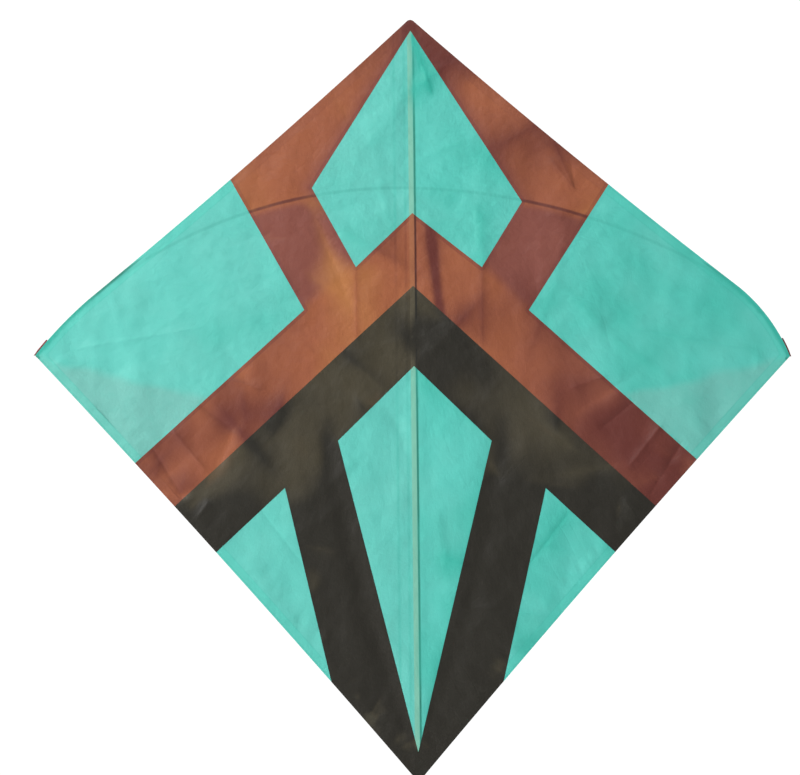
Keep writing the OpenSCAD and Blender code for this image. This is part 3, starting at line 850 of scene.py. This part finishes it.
# Rows of a hem, as inward distance and height behind the sail: round a thread, or round the bow
threadFold = [(0.0, -0.02), (-0.02, 0.3), (0.15, 0.58), (0.45, 0.68), (0.8, 0.56), (1.15, 0.26), (1.7, 0.12),
              (3.4, 0.1), (5.2, 0.1), (6.4, 0.1), (7.0, 0.1)]


def foldRows(s, u, onBow):  # the same rows, opened out round the bow where it lies in the hem
    plan = plans[s]
    if onBow <= 0:
        return threadFold
    y = bow["height"] - u * math.sin(plan.dip)
    r = 1.25 if u < 290 else 1.1
    c = 1.4
    arc = [(c + (r + 0.1) * math.cos(math.radians(a)), y + (r + 0.1) * math.sin(math.radians(a)))
           for a in (215, 180, 140, 100, 60, 20)]
    rows = [(0.0, -0.02)] + arc + [(3.1, max(0.5, y - 0.6)), (3.9, 0.16), (5.4, 0.1), (7.2, 0.1)]
    return [tuple(np.array(a) * (1 - onBow) + np.array(b) * onBow) for a, b in zip(threadFold, rows)]


class Rim:  # the edge of one half, by length from the nose
    def __init__(self, s):
        self.s = s
        self.points = np.array([p for p, _ in edges[s]])
        self.kind = [k for _, k in edges[s]]
        steps = np.linalg.norm(np.diff(self.points, axis=0), axis=1)
        self.length = np.concatenate([[0], np.cumsum(steps)])
        firstBow = self.kind.index("bow")
        self.tangent = self.length[firstBow]
        self.tip = self.length[self.kind.index("trail") - 1]
        self.total = self.length[-1]

    def at(self, l):
        return vec(np.interp(l, self.length, self.points[:, 0]), np.interp(l, self.length, self.points[:, 1]))

    def inward(self, l):
        a, b = self.at(max(l - 0.8, 0)), self.at(min(l + 0.8, self.total))
        d = unit(b - a)
        return vec(d[1], -d[0])

    def whereIn(self, region):  # runs of the edge whose points lie in a region
        pts = np.array([p + 0.4 * self.inward(l) for p, l in zip(self.points, self.length)])
        pts = pts * (self.s, 1)
        hit = region(pts)
        runs, start = [], None
        for i, h in enumerate(list(hit) + [False]):
            if h and start is None:
                start = i
            if not h and start is not None:
                if i - start > 1:
                    runs.append((start, i - 1))
                start = None
        return runs


rims = {s: Rim(s) for s in (left, right)}


def hemStrip(s, i0, i1, out=0.0, rows=None):
    rim = rims[s]
    verts, faces, flat, marks = [], [], [], []
    for i in range(i0, i1 + 1):
        l = rim.length[i]
        onBow = 0.0
        if rim.tangent - 12 < l < rim.tip + 4:
            onBow = float(smooth(l, rim.tangent - 12, rim.tangent + 4)
                          * (1 - smooth(l, rim.tip - 1, rim.tip + 4)))
        p, inw = rim.points[i], rim.inward(l)
        if rim.tip - 4 < l < rim.tip + 4:
            inw = unit(rim.inward(rim.tip - 4) + rim.inward(rim.tip + 4))
        use = rows(s, p[0], onBow) if rows else foldRows(s, p[0], onBow)
        n = len(use)
        for q, y in use:
            c = p + inw * (q - out)
            verts.append((s * c[0], y, c[1]))
            flat.append((s * c[0] * mm, c[1] * mm, 0))
            marks.append((1, max(q, 0) * mm, 1))
    count = i1 - i0 + 1
    for i in range(count - 1):
        for j in range(n - 1):
            a, b = i * n + j, (i + 1) * n + j
            faces.append((a, a + 1, b + 1, b) if s > 0 else (a, b, b + 1, a + 1))
    return verts, faces, flat, marks


# The least share of its rectangle that a sheet is declared to fill. The L-shaped frames really fill less, so
# the area computed for those four is over the true one.
leastShare = 0.301


def sheet(name, finish, faces, height, replaces, s, hems=()):
    used = np.unique(faces)
    index = np.full(len(table.verts), -1)
    index[used] = np.arange(len(used))
    xz = table.verts[used]
    y = height(xz) if callable(height) else np.full(len(xz), height)
    verts = [vec(p[0], d + r, p[1]) for p, d, r in zip(xz, y, table.relief[used])]
    tris = [tuple(index[f][::-1]) for f in faces]
    flat = [(p[0] * mm, p[1] * mm, 0) for p in xz]
    marks = [tuple(m * mm) for m in table.marks[used]]
    cutArea = sum(abs(np.cross(table.verts[f[1]] - table.verts[f[0]], table.verts[f[2]] - table.verts[f[0]]))
                  for f in faces) / 2
    for i0, i1 in hems:
        hv, hf, hflat, hmarks = hemStrip(s, i0, i1)
        base = len(verts)
        verts += [vec(*v) for v in hv]
        tris += [tuple(base + k for k in f) for f in hf]
        flat += hflat
        marks += hmarks
        cutArea += (rims[s].length[i1] - rims[s].length[i0]) * hem
    tone = toneOf(np.array([(f[0] / mm, f[1] / mm) for f in flat]), finish.split("_")[0])
    obj = piece(name, verts, tris, finish, {"flat": flat, "marks": marks, "tone": tone})
    thickened(obj, kite["paper"] * 0.7)
    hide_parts(*replaces)
    size = np.array(flat)[:, :2]
    wide, high = np.ptp(size[:, 0]) + hem * mm, np.ptp(size[:, 1]) + hem * mm
    rideWing(obj, s)
    min(max(cutArea * mm * mm, leastShare * wide * high), wide * high)
    return obj


# Below zero is in front of the sail's plane. Where the black laps the brown it lies further in front.
layers = dict(teal=-0.05, brown=-0.15, blackLap=0.1)
under = {k: grown(v, lap) for k, v in fields.items()}
aboveBrown = grown(belowLine, -lap)


def blackHeight(xz):
    d = toLines(xz, [blackLeft, blackApex, blackRight])
    return layers["brown"] - layers["blackLap"] * (1 - smooth(d, lap, 2 * lap))


papers = {}
for s in (left, right):
    side = sideName(s)
    wing, lower = fields["wing" + side.title()], fields["lower" + side.title()]
    teal = layers["teal"]
    rim = rims[s]
    inWing = rim.whereIn(lambda p: inside(p, wing))
    inLower = rim.whereIn(lambda p: inside(p, lower))
    inBrown = rim.whereIn(lambda p: ~inside(p, belowLine) & ~inside(p, wing))
    inBlack = rim.whereIn(lambda p: inside(p, belowLine) & ~inside(p, lower))
    papers["upperDiamond" + side] = sheet(
        "upper_diamond_sheet_" + side, "teal_tissue", table.region([under["diamond"]], half=s), teal,
        ["upper_diamond_" + side] + (["upper_diamond_strip"] if s < 0 else []), s)
    papers["dart" + side] = sheet(
        "dart_sheet_" + side, "teal_tissue", table.region([under["dart"]], half=s), teal,
        ["dart_" + side] + (["dart_strip"] if s < 0 else []), s)
    papers["wing" + side] = sheet(
        "wing_sheet_" + side, "teal_tissue", table.region([under["wing" + side.title()]], half=s), teal,
        ["wing_panel_" + side], s, hems=inWing)
    papers["lower" + side] = sheet(
        "lower_sheet_" + side, "teal_tissue", table.region([under["lower" + side.title()]], half=s), teal,
        ["lower_panel_" + side], s, hems=inLower)
    papers["brown" + side] = sheet(
        "brown_sheet_" + side, "brown_tissue",
        table.region(notIn=[aboveBrown, diamond, wing], half=s), layers["brown"],
        ["brown_frame_" + side] + (["brown_strip"] if s < 0 else []), s, hems=inBrown)
    papers["black" + side] = sheet(
        "black_sheet_" + side, "black_tissue", table.region([belowLine], [dart, lower], half=s), blackHeight,
        ["black_frame_" + side] + (["black_strip"] if s < 0 else []), s, hems=inBlack)
print("sheets cut and hemmed:", len(papers))


def tube(name, path, radii, finish, sides=14, knots=(), closed=False, squeeze=1.0):
    path = [np.asarray(p, float) for p in path]
    verts, faces, along = [], [], []
    count, run = len(path), 0.0
    up = None
    for i, p in enumerate(path):
        a = path[i - 1] if (i or closed) else path[0]
        b = path[(i + 1) % count] if (i + 1 < count or closed) else path[-1]
        d = unit(b - a)
        if up is None:
            up = unit(np.cross(d, (0.0, 1.0, 0.02)))
        up = unit(up - d * (up @ d))
        out = np.cross(d, up)
        run += np.linalg.norm(p - path[i - 1]) if i else 0
        knot = max([math.exp(-((run - k) / 1.6) ** 2) for k in knots] or [0])
        r = radii[i] if hasattr(radii, "__len__") else radii
        r = r * (1 + 0.1 * knot)
        for k in range(sides):
            w = 2 * math.pi * k / sides
            verts.append(p + r * (math.cos(w) * up + math.sin(w) * squeeze * out))
            along.append((run * mm, w * r * mm, knot))
    rings = count if closed else count - 1
    for i in range(rings):
        for k in range(sides):
            a, b = i * sides, (i + 1) % count * sides
            m = (k + 1) % sides
            faces.append((a + k, a + m, b + m, b + k))
    if not closed:
        faces.append(tuple(reversed(range(sides))))
        faces.append(tuple((count - 1) * sides + k for k in range(sides)))
    return piece(name, verts, faces, finish, {"along": along})


def joined(name, objs):
    bpy.ops.object.select_all(action="DESELECT")
    for o in objs:
        o.select_set(True)
    bpy.context.view_layer.objects.active = objs[0]
    if len(objs) > 1:
        bpy.ops.object.join()
    objs[0].name = name
    objs[0].data.name = name
    return objs[0]


stick = dict(bowRings=150, bowKnots=((62, 171, 262), (84, 190, 281)), uneven=0.025)
for s in (left, right):
    plan, side = plans[s], sideName(s)
    slopes = np.linspace(0, plan.tipSlope, stick["bowRings"])
    path = [plan.bowPoint(a) for a in slopes]
    radii = [plan.bowRadius(a) * (1 + stick["uneven"] * noise.noise(Vector((a * 0.35, s * 3, 0))))
             for a in slopes]
    obj = tube("bow_stick_" + side, path, radii, "bow_bamboo", 16, ofSide(stick["bowKnots"], s))
    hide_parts("bow_" + side, *(["bow_centre"] if s < 0 else []))
    rideWing(obj, s)

spineStick = dict(top=132, foot=-470, wide=(5.5, 3.6), thick=1.8, soft=0.35, waist=(1.35, 2.85), cut=0.55,
                  knots=(52, -124, -301, -420))


def spineHalf(z):
    t = (spineStick["top"] - z) / (spineStick["top"] - spineStick["foot"])
    return (spineStick["wide"][0] * (1 - t) + spineStick["wide"][1] * t) / 2


def makeSpine():
    verts, faces, along = [], [], []
    heights = np.unique(np.concatenate([
        np.arange(spineStick["foot"], spineStick["top"], 4.0), [spineStick["top"]],
        [k + d for k in spineStick["knots"] for d in (-2, -1, -0.4, 0, 0.4, 1, 2)],
        [m * w + d for m in (-1, 1) for w in spineStick["waist"] for d in (-0.05, 0.05)]]))
    for z in heights:
        half = spineHalf(z)
        knot = max(math.exp(-((z - k) / 1.2) ** 2) for k in spineStick["knots"])
        bound = spineStick["waist"][0] < abs(z) < spineStick["waist"][1]
        half = half * (1 + 0.03 * knot)
        thick = spineStick["thick"] + 0.12 * knot
        front = spineStick["cut"] if bound else 0.0
        c = spineStick["soft"]
        ring = [(-half + c * 0.4, front), (half - c * 0.4, front), (half, front + c * 0.4), (half, thick - c),
                (half - c * 0.6, thick - c * 0.25), (half - 1.4 * c, thick), (0, thick + 0.05),
                (-half + 1.4 * c, thick), (-half + c * 0.6, thick - c * 0.25), (-half, thick - c),
                (-half, front + c * 0.4)]
        for k, (x, y) in enumerate(ring):
            verts.append(vec(x, y, z))
            along.append((z * mm, x * mm + (0.02 if y < 0.5 else 0), knot))
    n = len(ring)
    for i in range(len(heights) - 1):
        for k in range(n):
            a, b, m = i * n, (i + 1) * n, (k + 1) % n
            faces.append((a + k, a + m, b + m, b + k))
    faces.append(tuple(reversed(range(n))))
    faces.append(tuple((len(heights) - 1) * n + k for k in range(n)))
    obj = piece("spine_stick", verts, faces, "bamboo", {"along": along})
    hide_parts("spine")
    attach(obj, "centre")


makeSpine()
print("spine and bow shaved")

lashing = dict(turns=5, thread=0.15, first=1.5, pitch=0.29, out=2.98, front=0.3, back=4.72)


def softLoop(corners, r=0.35, steps=4):
    made = []
    count = len(corners)
    for i, c in enumerate(corners):
        a, b = vec(*corners[i - 1]), vec(*corners[(i + 1) % count])
        c = vec(*c)
        p, q = c + unit(a - c) * r, c + unit(b - c) * r
        for k in range(steps + 1):
            t = k / steps
            made.append((1 - t) ** 2 * p + 2 * t * (1 - t) * c + t * t * q)
    return made


loops = []
rng = random.Random(12)
for i in range(lashing["turns"]):
    z = lashing["first"] + lashing["pitch"] * i
    o, f = lashing["out"], lashing["front"]
    b = lashing["back"] - 0.1 * (i % 2) + rng.uniform(-0.03, 0.03)
    corners = [(-o, f, z), (o, f, z), (o, b - 0.7, z), (0.9, b, z * 0.35), (-0.9, b, -z * 0.35),
               (-o, b - 0.7, -z), (-o, f, -z), (o, f, -z), (o, b - 0.75, -z), (0.9, b + 0.1, -z * 0.35),
               (-0.9, b + 0.1, z * 0.35), (-o, b - 0.75, z)]
    loops.append(tube(f"turn{i}", softLoop(corners), lashing["thread"], "lashing_thread", 8, closed=True))
knot = joined("lashing_turns", loops)
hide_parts("bow_lashing")
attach(knot, "centre")

binding = dict(turns=9, thread=0.14, inFrom=1.2, long=2.7)
for s in (left, right):
    plan, side = plans[s], sideName(s)
    path = []
    steps = 14 * binding["turns"]
    for i in range(steps + 1):
        t = i / steps
        back = math.degrees((binding["inFrom"] + binding["long"] * t) / plan.outer)
        slope = plan.tipSlope - back
        c = plan.bowPoint(slope)
        ahead = unit(plan.bowPoint(slope + 0.2) - c)
        a = unit(np.cross(ahead, (0, 1, 0)))
        b = np.cross(ahead, a)
        w = 2 * math.pi * t * binding["turns"]
        r = plan.bowRadius(slope) + binding["thread"] + 0.01
        path.append(c + r * (math.cos(w) * a + math.sin(w) * b))
    obj = tube("tip_turns_" + side, path, binding["thread"], "lashing_thread", 7)
    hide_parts("tip_binding_" + side)
    rideWing(obj, s)

for s in (left, right):
    rim, side = rims[s], sideName(s)
    for name, l0, l1 in (("leading", 6.0, rim.tangent - 6), ("trailing", rim.tip + 6, rim.total - 1.5)):
        path = []
        for l in np.arange(l0, l1, 5.0):
            c = rim.at(l) + rim.inward(l) * 0.42
            path.append(vec(s * c[0], 0.32, c[1]))
        obj = tube(f"{name}_edge_thread_{side}", path, 0.23, "edge_thread", 8)
        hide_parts(f"{name}_thread_{side}")
        rideWing(obj, s)
print("threads wound")

patches = dict(nose=(13, 17), tail=(9, 17), noseAt=103, tailAt=-436, spine=(20, 9), spineAt=(62, -118, -285),
               lift=0.09)


def overSpine(x, z):  # height of paper that is pasted over the spine from behind
    half, top = spineHalf(z) + 0.15, spineStick["thick"] + 0.17
    climb = 1 - float(smooth(abs(x), half - 0.1, half + 1.1))
    return patches["lift"] + (top - patches["lift"]) * climb


def patch(name, cx, cz, half, lozenge, seed):
    rng = random.Random(seed)
    xs = np.unique(np.concatenate([
        np.linspace(-1, 1, 25) * half[0],
        [m * v for m in (-1, 1) for v in (2.3, 2.6, 2.9, 3.2, 3.5, 3.9)]]))
    xs = xs[np.abs(xs) <= half[0]]
    zs = np.linspace(-1, 1, 19)
    wave = [rng.uniform(-0.25, 0.25) for _ in range(60)]
    verts, faces, flat = [], [], []
    for x in xs:
        reach = half[1] * (1 - 0.97 * abs(x) / half[0]) if lozenge else half[1]
        for j, v in enumerate(zs):
            z = cz + v * reach + (wave[int(abs(x) * 2) % 60] if abs(v) == 1 and not lozenge else 0)
            sway = 0 if lozenge else 0.25 * noise.noise(Vector((z * 0.5, seed, 0))) * (abs(x) == half[0])
            xx = cx + x + sway
            verts.append(vec(xx, overSpine(xx, z), z))
            flat.append((xx * mm, z * mm + 0.7 * seed, 0))
    n = len(zs)
    for i in range(len(xs) - 1):
        for j in range(n - 1):
            a, b = i * n + j, (i + 1) * n + j
            faces.append((a, a + 1, b + 1, b))
    verts = np.array(verts)
    verts[:, 1] += relief(verts[:, [0, 2]])
    marks = np.ones((len(verts), 3))
    obj = piece(name, verts, faces, "teal_tissue",
                {"flat": flat, "marks": marks, "tone": np.zeros((len(verts), 3))})
    return thickened(obj, kite["paper"] * 0.8)


def layPatch(obj, node):
    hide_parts(node)
    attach(obj, "centre")


nosePatch = patch("nose_patch_paper", 0, patches["noseAt"], patches["nose"], True, 1)
layPatch(nosePatch, "nose_patch")
tailPatch = patch("tail_patch_paper", 0, patches["tailAt"], patches["tail"], True, 2)
layPatch(tailPatch, "tail_patch")
straps = [patch(f"strap{i}", 0, z, (patches["spine"][0] / 2, patches["spine"][1] / 2), False, 3 + i)
          for i, z in enumerate(patches["spineAt"])]
layPatch(joined("spine_patch_papers", straps), "spine_patches")

tipPatch = dict(reach=17, out=1.5, lift=0.16)


def tipRows(s, u, onBow):
    y = bow["height"] - u * math.sin(plans[s].dip)
    r = 1.1
    c = 0.9 + tipPatch["out"] * 0.5
    arc = [(c + (r + 1.2) * math.cos(math.radians(a)), y + (r + 0.55) * math.sin(math.radians(a)))
           for a in (235, 200, 165, 130, 95, 60, 25)]
    return [(3.2, 0.0), (1.6, 0.0)] + arc + [(4.7, 0.9), (5.8, 0.28), (8.0, 0.22), (9.6, 0.22)]


for s in (left, right):
    rim, side = rims[s], sideName(s)
    i0 = int(np.searchsorted(rim.length, rim.tip - tipPatch["reach"]))
    i1 = int(np.searchsorted(rim.length, rim.tip))
    verts, faces, flat, _ = hemStrip(s, i0, i1, out=tipPatch["out"] * 0.5, rows=tipRows)
    obj = piece("tip_patch_paper_" + side, [vec(*v) for v in verts], faces, "maroon_tissue",
                {"flat": flat, "marks": np.ones((len(verts), 3)), "tone": np.zeros((len(verts), 3))})
    thickened(obj, kite["paper"] * 0.8)
    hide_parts("tip_patch_" + side)
    rideWing(obj, s)
    "wing_sheet_" + side
print("patches pasted")

stage = dict(floorDrop=0.62, floorSize=6.4, backdrop=1.05, worldLight=0.44, fill=0.25)


def makeStage():
    low = cadBox[0][2] - stage["floorDrop"]
    half = stage["floorSize"] / 2
    mesh = bpy.data.meshes.new("floor")
    mesh.from_pydata([(-half, -half, low), (half, -half, low), (half, half, low), (-half, half, low)], [],
                     [(0, 1, 2, 3)])
    floor = bpy.data.objects.new("floor", mesh)
    bpy.context.collection.objects.link(floor)
    p = Paint("paleFloor")
    grain = p.cloud(p.node("TexCoord", out="Object"), 3, 2, 0.5)
    tone = p.mix(grain * 0.1, srgb(244, 244, 242), srgb(232, 232, 230))
    matt = p.node("BsdfPrincipled", {}, {"Base Color": tone, "Roughness": 0.8})
    floor.data.materials.append(p.finish(matt))
    world = bpy.data.worlds.new("paleRoom")
    bpy.context.scene.world = world
    world.use_nodes = True
    tree = world.node_tree
    tree.nodes.clear()
    seen, lights = tree.nodes.new("ShaderNodeBackground"), tree.nodes.new("ShaderNodeBackground")
    seen.inputs["Color"].default_value = (1, 1, 1, 1)
    seen.inputs["Strength"].default_value = stage["backdrop"]
    lights.inputs["Color"].default_value = (1, 1, 1, 1)
    lights.inputs["Strength"].default_value = stage["worldLight"]
    rays, mix = tree.nodes.new("ShaderNodeLightPath"), tree.nodes.new("ShaderNodeMixShader")
    out = tree.nodes.new("ShaderNodeOutputWorld")
    tree.links.new(rays.outputs["Is Camera Ray"], mix.inputs[0])
    tree.links.new(lights.outputs[0], mix.inputs[1])
    tree.links.new(seen.outputs[0], mix.inputs[2])
    tree.links.new(mix.outputs[0], out.inputs[0])


def addLight(name, kind, place, aim, power, size, colour=(1, 1, 1)):
    lamp = bpy.data.lights.new(name, kind)
    lamp.energy, lamp.color = power, colour
    if kind == "AREA":
        lamp.shape, lamp.size = "DISK", size
    else:
        lamp.angle = size
    obj = bpy.data.objects.new(name, lamp)
    bpy.context.collection.objects.link(obj)
    obj.location = place
    obj.rotation_mode = "QUATERNION"
    obj.rotation_quaternion = (Vector(aim) - Vector(place)).to_track_quat("-Z", "Y")
    return obj


makeStage()
centre = (cadBox[0] + cadBox[1]) / 2
addLight("window", "AREA", (-2.3, -1.5, 0.7), centre, 76, 0.9, (1.0, 0.985, 0.96))
addLight("doorway", "AREA", (-0.9, -2.2, 1.3), centre, 16, 0.5)
addLight("room", "SUN", (1.0, -2.0, 2.0), centre, stage["fill"], 0.9)
addLight("backRoom", "AREA", (1.4, 2.2, 1.0), centre, 12, 1.6)

view = dict(lens=100, sensor=36, frameWidth=638, aside=-10.4, above=11, lean=0.64)


def makeCamera():
    data = bpy.data.cameras.new("camera")
    data.lens, data.sensor_width = view["lens"], view["sensor"]
    data.clip_start, data.clip_end = 0.05, 60
    cam = bpy.data.objects.new("camera", data)
    bpy.context.collection.objects.link(cam)
    distance = view["frameWidth"] * mm * view["lens"] / view["sensor"]
    middle = (cadBox[0] + cadBox[1]) / 2
    lean = math.radians(view["lean"])
    cam.location = (middle.x + view["aside"] * mm, -distance, middle.z + view["above"] * mm)
    cam.rotation_euler = (math.pi / 2, lean, 0)
    bpy.context.scene.camera = cam
    bpy.context.scene.view_settings.view_transform = "Standard"


makeCamera()
print("stage, lights and camera set")
